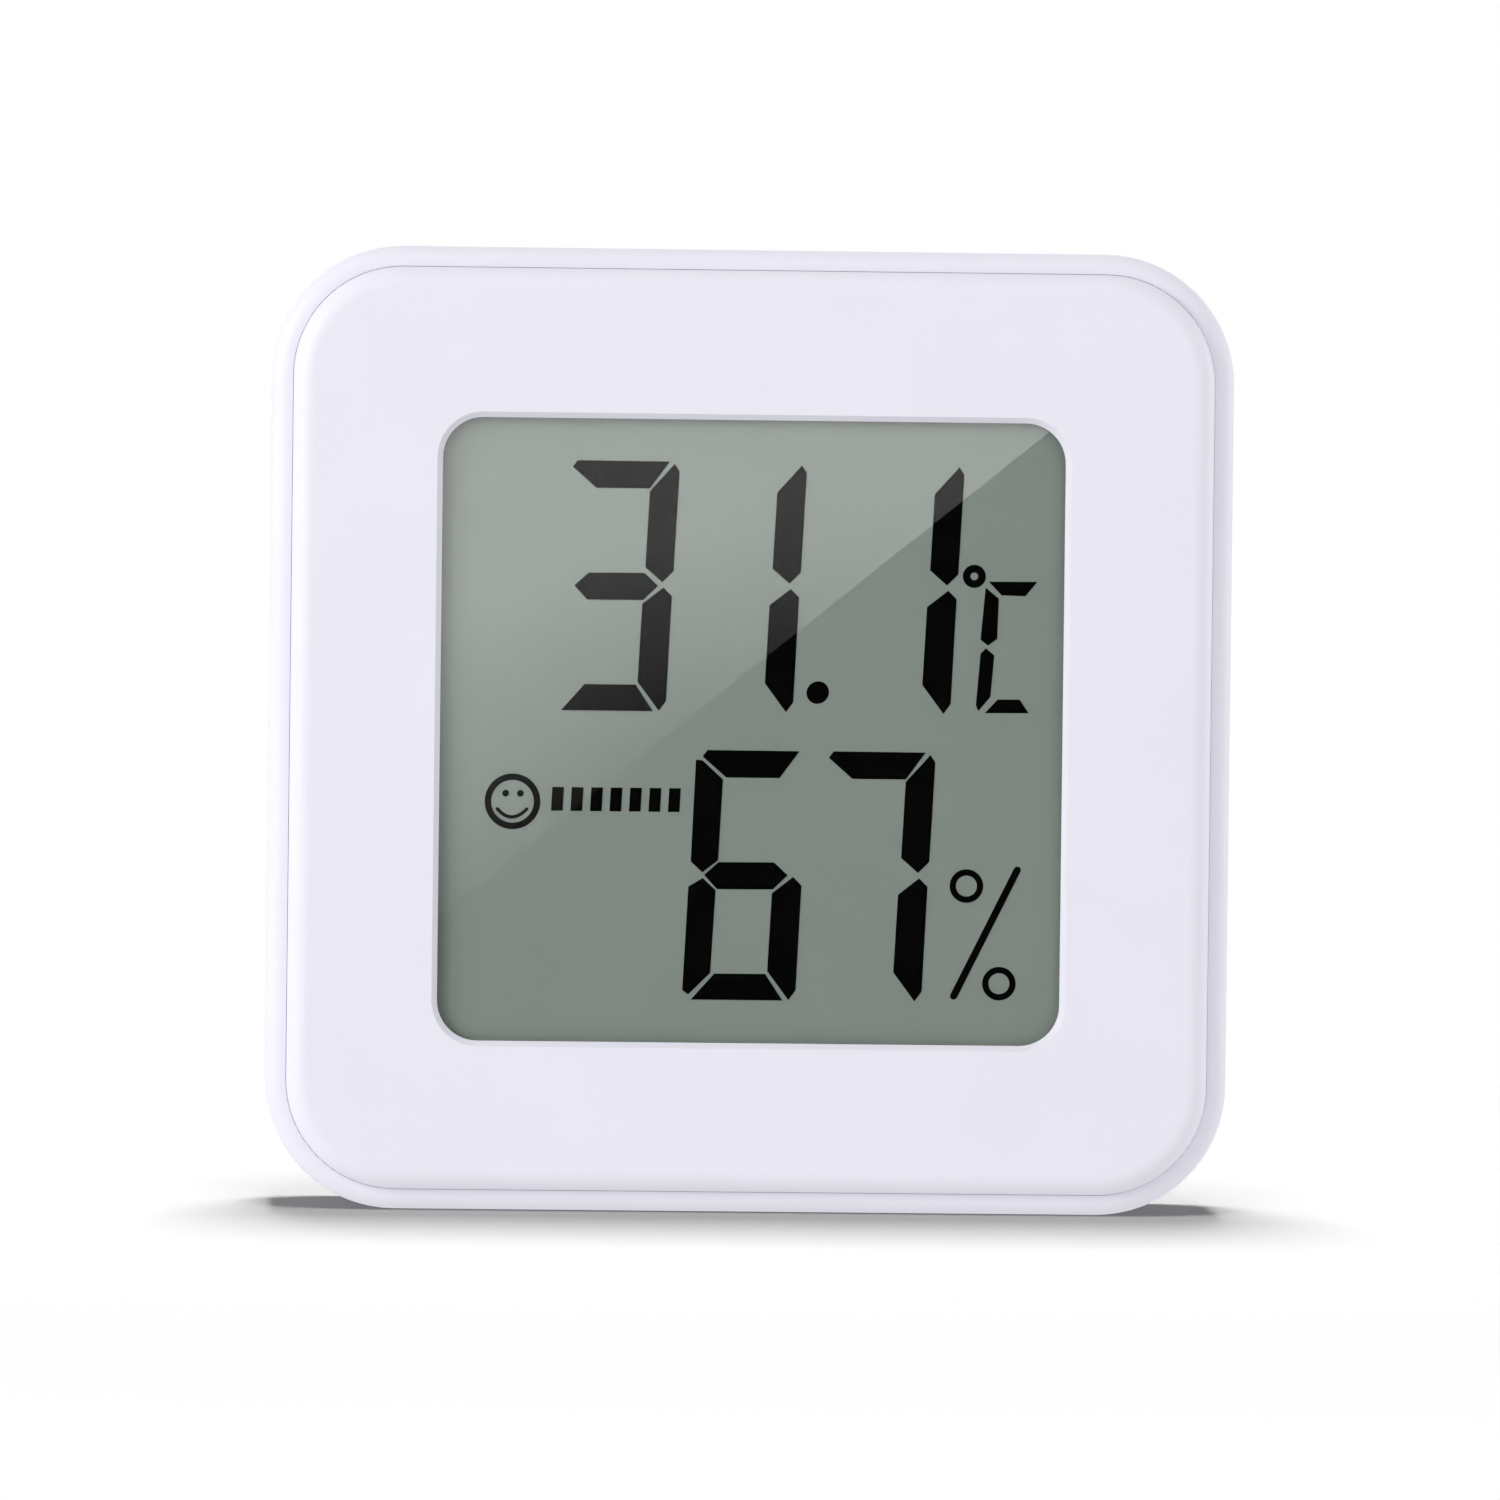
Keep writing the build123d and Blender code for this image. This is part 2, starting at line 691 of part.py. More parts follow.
# Timing crystal: a small can lying along the top of the board
with BuildPart() as timing_crystal:
    crystal_y = board_back_y + crystal_radius
    crystal_z = half_body + board_size / 2 - crystal_inset
    crystal_end = (-crystal_offset, crystal_y, crystal_z)
    with BuildSketch(Plane(origin=crystal_end, x_dir=(0, 1, 0), z_dir=(-1, 0, 0))):
        Circle(crystal_radius)
    extrude(amount=crystal_length)
timing_crystal.part.label = "timing_crystal"
export_step(timing_crystal.part, "parts/timing_crystal.step")

# Small chip parts on the back of the board
with BuildPart() as chip_passives:
    with BuildSketch(level(board_back_y + chip_height)):
        for share_x, share_z in chip_place_shares:
            with Locations((share_x * board_size, share_z * board_size)):
                Rectangle(chip_width, chip_length)
    extrude(amount=chip_height)
chip_passives.part.label = "chip_passives"
export_step(chip_passives.part, "parts/chip_passives.step")

# Push switch on the board, with a hole for its plunger
with BuildPart() as unit_switch:
    with BuildSketch(level(switch_back_y, x=button_offset, z=button_z)):
        Rectangle(switch_width, switch_height)
    extrude(amount=switch_thickness)
    with BuildSketch(level(switch_back_y, x=button_offset, z=button_z)):
        Circle(plunger_radius + plunger_clearance)
    extrude(amount=plunger_root + plunger_travel + plunger_spare, mode=Mode.SUBTRACT)
unit_switch.part.label = "unit_switch"
export_step(unit_switch.part, "parts/unit_switch.step")

with BuildPart() as switch_plunger:
    with BuildSketch(level(plunger_back_y, x=button_offset, z=button_z)):
        Circle(plunger_radius)
    extrude(amount=plunger_reach + plunger_root)
switch_plunger.part.label = "switch_plunger"
export_step(switch_plunger.part, "parts/switch_plunger.step")

# Unit button: a cap in the back wall, a flange that keeps it in, and a stem to the switch
with BuildPart() as unit_button:
    with BuildSketch(level(button_back_y, x=button_offset, z=button_z)):
        Circle(button_radius)
    extrude(amount=button_back_y - flange_back_y)
    chamfer(unit_button.faces().sort_by(Axis.Y)[-1].edges(), button_edge_chamfer)
    with BuildSketch(level(flange_back_y, x=button_offset, z=button_z)):
        Circle(flange_radius)
    extrude(amount=flange_thickness)
    with BuildSketch(level(flange_front_y, x=button_offset, z=button_z)):
        Circle(stem_radius)
    extrude(amount=flange_front_y - plunger_back_y - plunger_gap)
unit_button.part.label = "unit_button"
export_step(unit_button.part, "parts/unit_button.step")

# Button cell: a can with a smaller negative cap towards the board
with BuildPart() as button_cell:
    with BuildSketch(level(cell_back_y, z=door_z)):
        Circle(cell_radius)
    extrude(amount=cell_height - cell_cap_height)
    chamfer(button_cell.faces().sort_by(Axis.Y)[-1].edges(), cell_edge_chamfer)
    with BuildSketch(level(cell_front_y + cell_cap_height, z=door_z)):
        Circle(cell_cap_radius)
    extrude(amount=cell_cap_height)
button_cell.part.label = "button_cell"
export_step(button_cell.part, "parts/button_cell.step")

# Battery door: a disc with a coin slot, a ring that enters the mouth and two lugs
with BuildPart() as battery_door:
    with BuildSketch(level(back_y, z=door_z)):
        Circle(door_radius)
    extrude(amount=door_thickness)
    chamfer(battery_door.faces().sort_by(Axis.Y)[-1].edges(), door_edge_chamfer)
    with BuildSketch(level(door_inner_y, z=door_z)):
        Circle(ring_radius)
        Circle(well_radius, mode=Mode.SUBTRACT)
    extrude(amount=door_inner_y - lug_front_y)
    with BuildSketch(level(lug_back_y, z=door_z)):
        Circle(lug_radius)
        Rectangle(2 * lug_radius, lug_width, mode=Mode.INTERSECT)
        Circle(well_radius, mode=Mode.SUBTRACT)
    extrude(amount=lug_thickness)
    with BuildSketch(level(door_inner_y, z=door_z)):
        Circle(door_pad_radius)
    extrude(amount=door_inner_y - cell_back_y - door_pad_clearance)
    with BuildSketch(level(back_y + overrun, z=door_z)):
        SlotOverall(coin_slot_length, coin_slot_width)
    extrude(amount=coin_slot_depth + overrun, mode=Mode.SUBTRACT)
    with BuildSketch(level(back_y + overrun, z=door_z)):
        with PolarLocations(door_radius - mark_gap - mark_length / 2, 1, start_angle=mark_angle):
            Rectangle(mark_length, mark_width)
    extrude(amount=mark_depth + overrun, mode=Mode.SUBTRACT)
battery_door.part.label = "battery_door"
export_step(battery_door.part, "parts/battery_door.step")

# Spring leaf that touches the negative cap of the cell
with BuildPart() as negative_contact:
    with BuildSketch(level(board_back_y + leaf_thickness, z=door_z)):
        Rectangle(leaf_base_width, leaf_base_length)
    extrude(amount=leaf_thickness)
    leaf_top = cell_lift - leaf_gap
    half_base = leaf_base_length / 2
    with BuildSketch(side_level(0, board_back_y, door_z)):
        with BuildLine():
            Polyline(
                (0, -half_base),
                (leaf_thickness, -half_base),
                (leaf_top, 0),
                (leaf_top, leaf_width / 2),
                (leaf_top - leaf_thickness, leaf_width / 2),
                (leaf_top - leaf_thickness, 0),
                (0, -half_base + leaf_thickness),
                close=True,
            )
        make_face()
    extrude(amount=leaf_width / 2, both=True)
negative_contact.part.label = "negative_contact"
export_step(negative_contact.part, "parts/negative_contact.step")

# Blade that touches the side of the cell
with BuildPart() as positive_contact:
    blade_x = cell_radius + leaf_gap
    with BuildSketch(level(board_back_y, x=blade_x, z=door_z)):
        Rectangle(blade_thickness, blade_width, align=(Align.MIN, Align.CENTER))
    extrude(amount=-blade_height)
    with BuildSketch(level(board_back_y, x=blade_x, z=door_z)):
        Rectangle(blade_thickness + blade_foot, blade_width, align=(Align.MIN, Align.CENTER))
    extrude(amount=-blade_thickness)
positive_contact.part.label = "positive_contact"
export_step(positive_contact.part, "parts/positive_contact.step")

# Stand: a plate with a heel that stops it, two pins, and grip grooves at its foot
with BuildPart() as kickstand:
    plate_length = stand_pivot_z - stand_foot_gap
    with BuildSketch(side_level(0, pivot_y, stand_pivot_z)):
        Circle(stand_thickness - stand_pivot_depth)
        with Locations((stand_pivot_depth, 0)):
            Rectangle(stand_thickness, plate_length, align=(Align.MAX, Align.MAX))
        with Locations((stand_pivot_depth, 0)):
            Rectangle(
                stand_pivot_depth + stand_heel_step,
                stand_heel_rise,
                align=(Align.MAX, Align.MIN),
            )
    extrude(amount=stand_width / 2, both=True)
    fillet(
        kickstand.edges().filter_by(Axis.X).group_by(Axis.Z)[-1].sort_by(Axis.Y)[-1:],
        stand_heel_round,
    )
    fillet(kickstand.edges().filter_by(Axis.X).group_by(Axis.Z)[0], stand_foot_round)
    with BuildSketch(side_level(0, pivot_y, stand_pivot_z)):
        Circle(pin_radius)
    extrude(amount=stand_width / 2 + pin_length, both=True)
    with BuildSketch(level(back_y, z=stand_foot_gap + grip_rise)):
        with GridLocations(0, grip_groove_pitch, 1, grip_groove_count):
            Rectangle(grip_groove_width, grip_groove_height)
    extrude(amount=grip_groove_depth, mode=Mode.SUBTRACT)
kickstand.part.label = "kickstand"
export_step(kickstand.part, "parts/kickstand.step")

# Board screws, two on a diagonal
with BuildPart() as board_screws:
    with BuildSketch(level(board_back_y + board_head_height)):
        with diagonal(boss_offset, boss_rise):
            Circle(board_head_radius)
    extrude(amount=board_head_height)
    with BuildSketch(level(board_back_y)):
        with diagonal(boss_offset, boss_rise):
            Circle(board_shank_radius)
    extrude(amount=board_shank_length)
board_screws.part.label = "board_screws"
export_step(board_screws.part, "parts/board_screws.step")
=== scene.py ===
import math
import bpy
import numpy as np
from mathutils import Matrix, Vector


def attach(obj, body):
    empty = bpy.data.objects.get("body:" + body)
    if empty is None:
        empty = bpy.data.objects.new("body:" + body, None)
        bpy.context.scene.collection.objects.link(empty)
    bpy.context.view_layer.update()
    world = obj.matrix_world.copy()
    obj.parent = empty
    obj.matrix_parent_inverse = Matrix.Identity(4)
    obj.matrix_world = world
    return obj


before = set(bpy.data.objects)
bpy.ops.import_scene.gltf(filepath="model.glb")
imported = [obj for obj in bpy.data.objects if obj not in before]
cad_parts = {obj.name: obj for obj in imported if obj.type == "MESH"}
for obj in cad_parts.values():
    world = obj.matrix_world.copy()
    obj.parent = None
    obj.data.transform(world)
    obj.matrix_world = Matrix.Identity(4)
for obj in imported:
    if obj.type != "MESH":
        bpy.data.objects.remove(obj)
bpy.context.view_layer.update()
scene = bpy.context.scene
mm = 0.001


# Camera: a long lens, a little to the left of the middle
view = {
    "middle": (0.0, 0.0, 21.5),   # middle of the case
    "azimuth": -2.4,              # degrees, below zero is to the left
    "elevation": 1.2,
    "distance": 600.0,
    "roll": 0.68,                 # the picture is turned clockwise by this
    "seen": 67.56,                # width of the picture at the case, mm
    "aim": (0.17, -0.93),         # from the case's middle to the picture's, right and up, mm
    "sensor": 36.0,
    "clip": (20.0, 20000.0),
}


def turnedView(az, el, roll):
    # unit vectors from the case to the camera, to its right and up, the last two turned by the roll
    a, e, r = math.radians(az), math.radians(el), math.radians(roll)
    back = Vector((math.sin(a) * math.cos(e), -math.cos(a) * math.cos(e), math.sin(e)))
    level = Vector((math.cos(a), math.sin(a), 0))
    upright = back.cross(level)
    right = level * math.cos(r) + upright * math.sin(r)
    up = upright * math.cos(r) - level * math.sin(r)
    return back, right, up


back, right, up = turnedView(view["azimuth"], view["elevation"], view["roll"])
aim = Vector(view["middle"]) + right * view["aim"][0] + up * view["aim"][1]
eye = aim + back * view["distance"]
cameraData = bpy.data.cameras.new("pictureCamera")
cameraData.sensor_width = view["sensor"]
cameraData.lens = view["sensor"] * view["distance"] / view["seen"]
cameraData.clip_start, cameraData.clip_end = (limit * mm for limit in view["clip"])
camera = bpy.data.objects.new("pictureCamera", cameraData)
scene.collection.objects.link(camera)
camera.matrix_world = Matrix.Translation(eye * mm) @ Matrix((right, up, back)).transposed().to_4x4()
scene.camera = camera
scene.view_settings.view_transform = "Standard"
print("camera: lens", round(cameraData.lens, 1), "mm, at", [round(v, 1) for v in eye], "mm")


# Helpers for node trees
def emptyTree(owner, outputKind="ShaderNodeOutputMaterial"):
    owner.use_nodes = True
    owner.node_tree.nodes.clear()
    return owner.node_tree, owner.node_tree.nodes.new(outputKind)


def startMaterial(name):
    material = bpy.data.materials.new(name)
    tree, output = emptyTree(material)
    shader = tree.nodes.new("ShaderNodeBsdfPrincipled")
    tree.links.new(shader.outputs["BSDF"], output.inputs["Surface"])
    return material, tree, shader, output


def noiseField(tree, size, detail=2.0, stretch=(1, 1, 1)):
    # noise whose patches are about size millimetres wide, over the object's own coordinates
    place = tree.nodes.new("ShaderNodeTexCoord")
    mapping = tree.nodes.new("ShaderNodeMapping")
    mapping.inputs["Scale"].default_value = [factor / (size * mm) for factor in stretch]
    noise = tree.nodes.new("ShaderNodeTexNoise")
    noise.inputs["Scale"].default_value = 1.0
    noise.inputs["Detail"].default_value = detail
    tree.links.new(place.outputs["Object"], mapping.inputs["Vector"])
    tree.links.new(mapping.outputs["Vector"], noise.inputs["Vector"])
    return noise.outputs["Fac"]


def spread(tree, field, low, high, start=0.3, end=0.7):
    # the field's values between start and end are spread from low to high
    ranged = tree.nodes.new("ShaderNodeMapRange")
    for name, value in (("From Min", start), ("From Max", end), ("To Min", low), ("To Max", high)):
        ranged.inputs[name].default_value = value
    tree.links.new(field, ranged.inputs["Value"])
    return ranged.outputs["Result"]


def mixColours(tree, field, dark, light):
    mix = tree.nodes.new("ShaderNodeMix")
    mix.data_type = "RGBA"
    mix.inputs["A"].default_value = (*dark, 1)
    mix.inputs["B"].default_value = (*light, 1)
    tree.links.new(field, mix.inputs["Factor"])
    return mix.outputs["Result"]


def mixShaders(tree, output, share, first, second):
    # the first shader where the share is 0, the second where it is 1
    mix = tree.nodes.new("ShaderNodeMixShader")
    for field, socket in ((share, mix.inputs["Fac"]), (first, mix.inputs[1]), (second, mix.inputs[2]),
                          (mix.outputs["Shader"], output.inputs["Surface"])):
        tree.links.new(field, socket)


def addBump(tree, shader, field, height):
    # height in micrometres between the field's 0 and 1
    bump = tree.nodes.new("ShaderNodeBump")
    bump.inputs["Strength"].default_value = 1.0
    bump.inputs["Distance"].default_value = height * 1e-6
    tree.links.new(field, bump.inputs["Height"])
    tree.links.new(bump.outputs["Normal"], shader.inputs["Normal"])


# What a finish has unless its own dictionary says otherwise
usualFinish = {
    "patch": 5.0,                 # width of the patches in which the colour drifts, mm
    "change": 0.02,               # share by which it drifts each way
    "grain": 0.12,                # width of the fine grain, mm
    "height": 1.5,                # height of the grain, micrometres, 0 for none
    "roughChange": 0.04,
    "stretch": (1, 1, 1),
    "metal": 0.0,
    "gloss": 0.5,
    "ior": 1.5,
}


def surfaceMaterial(name, look):
    # a base colour that drifts a little in patches, over a fine grain that also varies the gloss
    finish = {**usualFinish, **look}
    material, tree, shader, output = startMaterial(name)
    drift = spread(tree, noiseField(tree, finish["patch"]), 0.0, 1.0)
    dark = [c * (1 - finish["change"]) for c in finish["colour"]]
    light = [min(c * (1 + finish["change"]), 1.0) for c in finish["colour"]]
    tree.links.new(mixColours(tree, drift, dark, light), shader.inputs["Base Color"])
    rough, change = finish["rough"], finish["roughChange"]
    if finish["height"]:
        fine = noiseField(tree, finish["grain"], 3.0, finish["stretch"])
        tree.links.new(spread(tree, fine, rough - change, rough + change), shader.inputs["Roughness"])
        addBump(tree, shader, fine, finish["height"])
    else:
        shader.inputs["Roughness"].default_value = rough
    shader.inputs["Metallic"].default_value = finish["metal"]
    shader.inputs["Specular IOR Level"].default_value = finish["gloss"]
    shader.inputs["IOR"].default_value = finish["ior"]
    return material


def dress(material, *names):
    for name in names:
        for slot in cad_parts[name].material_slots:
            slot.material = material


# Case plastics
casePlastic = {"colour": (0.815, 0.805, 0.895), "rough": 0.46, "grain": 0.09, "height": 0.6, "change": 0.008}
dress(surfaceMaterial("casePlastic", casePlastic), "front_shell", "rear_shell", "battery_door", "kickstand")

buttonPlastic = {"colour": (0.42, 0.425, 0.46), "rough": 0.42, "grain": 0.08, "height": 0.8}
dress(surfaceMaterial("buttonPlastic", buttonPlastic), "unit_button")
print("case plastics done")


# Window, foam and adhesive
def clearMaterial(name, look):
    # clear plastic, which lets the lamps' light through to what lies behind it
    material, tree, shader, output = startMaterial(name)
    drift = spread(tree, noiseField(tree, look["patch"]), 0.0, 1.0)
    pale = [min(c * (1 + look["change"]), 1.0) for c in look["tint"]]
    tree.links.new(mixColours(tree, drift, look["tint"], pale), shader.inputs["Base Color"])
    shader.inputs["Roughness"].default_value = 0.0
    shader.inputs["Transmission Weight"].default_value = 1.0
    shader.inputs["IOR"].default_value = look["ior"]
    through = tree.nodes.new("ShaderNodeBsdfTransparent")
    through.inputs["Color"].default_value = (*look["tint"], 1)
    path = tree.nodes.new("ShaderNodeLightPath")
    mixShaders(tree, output, path.outputs["Is Shadow Ray"], shader.outputs["BSDF"], through.outputs["BSDF"])
    return material


windowPlastic = {"tint": (0.985, 0.99, 0.985), "ior": 1.03, "patch": 8.0, "change": 0.01}
dress(clearMaterial("clearWindow", windowPlastic), "display_window")

foam = {"colour": (0.72, 0.72, 0.74), "rough": 0.92, "grain": 0.15, "height": 25.0, "change": 0.05,
        "gloss": 0.2}
dress(surfaceMaterial("foam", foam), "display_gasket")
adhesive = {"colour": (0.74, 0.74, 0.76), "rough": 0.7, "change": 0.03}
dress(surfaceMaterial("adhesive", adhesive), "window_adhesive")


# Layers of the display
displayFilm = {"colour": (0.1765, 0.2035, 0.182), "rough": 0.0, "ior": 1.68, "patch": 7.0, "change": 0.006,
               "height": 0.0}
dress(surfaceMaterial("displayFilm", displayFilm), "lcd_front_polariser")
displayGlass = {"tint": (0.9, 0.95, 0.93), "ior": 1.5, "patch": 8.0, "change": 0.01}
dress(clearMaterial("displayGlass", displayGlass), "lcd_front_glass", "lcd_rear_glass")
reflector = {"colour": (0.6, 0.62, 0.6), "rough": 0.45, "grain": 0.05, "height": 2.0, "metal": 1.0}
dress(surfaceMaterial("reflectorFilm", reflector), "lcd_reflector")


# Pieces inside the case
innerPlastic = {"colour": (0.03, 0.03, 0.033), "rough": 0.55, "change": 0.08}
dress(surfaceMaterial("innerPlastic", innerPlastic), "lcd_carrier", "switch_plunger")


def stripedMaterial(name, look):
    # fine stripes across X: dark conductor layers in a pale rubber
    material, tree, shader, output = startMaterial(name)
    place = tree.nodes.new("ShaderNodeTexCoord")
    mapping = tree.nodes.new("ShaderNodeMapping")
    mapping.inputs["Scale"].default_value = (1 / (look["pitch"] * mm), 0, 0)
    wave = tree.nodes.new("ShaderNodeTexWave")
    wave.inputs["Scale"].default_value = math.pi / 10      # one wave for each unit of length
    wave.inputs["Distortion"].default_value = 0.0
    tree.links.new(place.outputs["Object"], mapping.inputs["Vector"])
    tree.links.new(mapping.outputs["Vector"], wave.inputs["Vector"])
    edge = look["share"] - look["blur"], look["share"] + look["blur"]
    field = spread(tree, wave.outputs["Fac"], 1.0, 0.0, *edge)
    tree.links.new(mixColours(tree, field, look["base"], look["stripe"]), shader.inputs["Base Color"])
    tree.links.new(spread(tree, noiseField(tree, look["grain"]), *look["rough"]), shader.inputs["Roughness"])
    return material


stripRubber = {"base": (0.62, 0.62, 0.66), "stripe": (0.05, 0.05, 0.05), "pitch": 0.18, "share": 0.5,
               "blur": 0.05, "grain": 0.3, "rough": (0.55, 0.65)}
dress(stripedMaterial("stripRubber", stripRubber), "connector_strip_upper", "connector_strip_lower")


def boardMaterial(name, look):
    # green lacquer over copper tracks, which show as paler lines in steps across the board
    material, tree, shader, output = startMaterial(name)
    place = tree.nodes.new("ShaderNodeTexCoord")
    mapping = tree.nodes.new("ShaderNodeMapping")
    mapping.inputs["Rotation"].default_value = (math.radians(90), 0, 0)
    mapping.inputs["Scale"].default_value = [1 / (look["pitch"] * mm)] * 3
    tracks = tree.nodes.new("ShaderNodeTexBrick")
    for key, value in (("Scale", 1.0), ("Mortar Size", look["track"]), ("Mortar Smooth", look["blur"]),
                       ("Brick Width", look["run"]), ("Row Height", 1.0)):
        tracks.inputs[key].default_value = value
    tree.links.new(place.outputs["Object"], mapping.inputs["Vector"])
    tree.links.new(mapping.outputs["Vector"], tracks.inputs["Vector"])
    tree.links.new(mixColours(tree, tracks.outputs["Fac"], look["lacquer"], look["overTrack"]),
                   shader.inputs["Base Color"])
    tree.links.new(spread(tree, noiseField(tree, look["grain"]), *look["rough"]), shader.inputs["Roughness"])
    addBump(tree, shader, tracks.outputs["Fac"], look["height"])
    return material


board = {"lacquer": (0.008, 0.085, 0.03), "overTrack": (0.02, 0.17, 0.06), "pitch": 0.8, "track": 0.16,
         "blur": 0.1, "run": 5.0, "height": 18.0, "grain": 0.4, "rough": (0.25, 0.36)}
dress(boardMaterial("boardLacquer", board), "circuit_board")
blackEpoxy = {"colour": (0.012, 0.012, 0.013), "rough": 0.28, "grain": 0.6, "height": 12.0, "change": 0.1}
dress(surfaceMaterial("blackEpoxy", blackEpoxy), "controller_cap", "thermistor")
ceramic = {"colour": (0.66, 0.62, 0.52), "rough": 0.5, "patch": 0.5, "change": 0.08, "grain": 0.04,
           "height": 2.0}
dress(surfaceMaterial("sensorCeramic", ceramic), "humidity_sensor", "chip_passives")


# Metal pieces
platedSteel = {"colour": (0.62, 0.6, 0.54), "rough": 0.3, "grain": 0.05, "height": 1.0, "metal": 1.0,
               "stretch": (1, 1, 0.08), "roughChange": 0.07}
dress(surfaceMaterial("platedSteel", platedSteel), "timing_crystal", "unit_switch", "negative_contact",
      "positive_contact")
cellSteel = {"colour": (0.66, 0.66, 0.65), "rough": 0.22, "grain": 0.06, "height": 0.8, "metal": 1.0,
             "stretch": (1, 0.06, 1), "roughChange": 0.06}
dress(surfaceMaterial("cellSteel", cellSteel), "button_cell")
screwSteel = {"colour": (0.5, 0.5, 0.52), "rough": 0.34, "grain": 0.08, "height": 2.0, "metal": 1.0,
              "roughChange": 0.08}
dress(surfaceMaterial("screwSteel", screwSteel), "board_screws")
print("inner pieces and metals done")


# Signs on the display: thin closed pieces on the film, under the window
display = {
    "middle": (-0.14, 21.54),     # across and up, mm
    "film": -5.3,                 # the film's front
    "thick": 0.02,
    "bevel": 0.006,
    "slant": 2.8,                 # degrees
    "dotPoints": 36,
}
lean = math.tan(math.radians(display["slant"]))
filmY = display["film"]
frontY = display["film"] - display["thick"]


def onDisplay(across, height):
    # upright display millimetres: leaned over by the slant, then moved to the display's middle
    x = display["middle"][0] + across + height * lean
    return x, display["middle"][1] + height


def grownOutline(points, by, least=0.6):
    # each corner moves out along the sum of its two sides' normals, so that every side moves out evenly
    outline = np.asarray(points, float)
    side = np.roll(outline, -1, axis=0) - outline
    turn = np.sign(np.sum(outline[:, 0] * side[:, 1] - outline[:, 1] * side[:, 0]))
    normal = np.stack([side[:, 1], -side[:, 0]], axis=1) * turn / np.linalg.norm(side, axis=1, keepdims=True)
    before = np.roll(normal, 1, axis=0)
    share = np.maximum(1 + np.sum(normal * before, axis=1, keepdims=True), least)
    return outline + by * (normal + before) / share


def roundOutline(x, z, radius):
    # points evenly round a circle
    angle = np.arange(display["dotPoints"]) * 2 * math.pi / display["dotPoints"]
    return np.stack([x + radius * np.cos(angle), z + radius * np.sin(angle)], axis=1)


def strokeOutline(path, width, rounds=7):
    # an outline at half the width on both sides of a path, with half circles round its ends
    path = np.asarray(path, float)
    along = np.gradient(path, axis=0)
    along /= np.linalg.norm(along, axis=1, keepdims=True)
    side = np.stack([along[:, 1], -along[:, 0]], axis=1) * width / 2
    turn = np.linspace(-math.pi / 2, math.pi / 2, rounds)[1:-1, None]
    endCap = path[-1] + np.cos(turn) * along[-1] * width / 2 + np.sin(turn) * -side[-1]
    startCap = path[0] - np.cos(turn) * along[0] * width / 2 + np.sin(turn) * side[0]
    return np.concatenate([path + side, endCap, (path - side)[::-1], startCap])


def tabletShape(points):
    # a closed tablet: the outline is carried from its front middle over a small bevel to its back middle
    across, height = onDisplay(*np.asarray(points, float).T)
    outline = np.stack([across, height], axis=1)
    middle = outline.mean(axis=0)
    reach = np.linalg.norm(outline - middle, axis=1, keepdims=True)
    inner = outline - (outline - middle) / reach * display["bevel"]
    depths = (frontY, frontY + display["bevel"], filmY)
    rows = [np.insert(ring, 1, depth, axis=1) for ring, depth in zip((inner, outline, outline), depths)]
    count = len(outline)
    poles = [[middle[0], frontY, middle[1]], [middle[0], filmY, middle[1]]]
    verts = np.concatenate(rows + [poles])
    column = np.arange(count)
    following = (column + 1) % count
    faces = [[column + row * count, column + (row + 1) * count, following + (row + 1) * count,
              following + row * count] for row in range(2)]
    quads = np.concatenate([np.stack(sides, axis=1) for sides in faces])
    first, last = np.full(count, 3 * count), np.full(count, 3 * count + 1)
    caps = np.concatenate([np.stack([first, column, following], axis=1),
                           np.stack([column + 2 * count, last, following + 2 * count], axis=1)])
    return verts, [quads, caps]


def ringShape(centre, outer, inner, count=72):
    # a square section carried round a circle: inner front, outer front, outer back, inner back
    angle = np.arange(count) * 2 * math.pi / count
    section = ((inner, frontY), (outer, frontY), (outer, filmY), (inner, filmY))
    rows = [np.stack([centre[0] + radius * np.cos(angle), np.full(count, depth),
                      centre[1] + radius * np.sin(angle)], axis=1) for radius, depth in section]
    column = np.arange(count)
    following = (column + 1) % count
    quads = np.concatenate([np.stack([column + row * count, column + (row + 1) % 4 * count,
                                      following + (row + 1) % 4 * count, following + row * count], axis=1)
                            for row in range(4)])
    return np.concatenate(rows), [quads]


def bandShape(path, width, rounds=5):
    # a flat band: the stroke's two sides are rows along the path, in front and behind, closed at its ends
    outline = strokeOutline(path, width, rounds)
    across, height = onDisplay(*outline.T)
    count = len(outline)
    front = np.stack([across, np.full(count, frontY), height], axis=1)
    rear = np.stack([across, np.full(count, filmY), height], axis=1)
    column = np.arange(count)
    following = (column + 1) % count
    sides = np.stack([column, column + count, following + count, following], axis=1)
    start = len(path)
    first = np.arange(start - 1)
    mirrored = start + (rounds - 2) + start - 1 - first
    strip = np.stack([first, first + 1, mirrored - 1, mirrored], axis=1)
    endCap = np.arange(start - 1, start + rounds - 1)[None, :]
    startCap = np.append(np.arange(2 * start + rounds - 3, count), 0)[None, :]
    faces = [strip, endCap, startCap]
    return np.concatenate([front, rear]), [sides] + faces + [group[:, ::-1] + count for group in faces]


def joinShapes(shapes):
    # the shapes' points in one list, and their faces counted on from the points before them
    starts = np.cumsum([0] + [len(points) for points, groups in shapes])
    groups = [group + start for (points, groups), start in zip(shapes, starts) for group in groups]
    verts = np.concatenate([points for points, groups in shapes])
    return verts, sum([group.tolist() for group in groups], [])


signInk = {"colour": (0.0012, 0.0012, 0.0012), "rough": 0.0, "ior": 1.35, "patch": 1.0, "change": 0.1,
           "height": 0.0}
inkMaterial = surfaceMaterial("displaySigns", signInk)


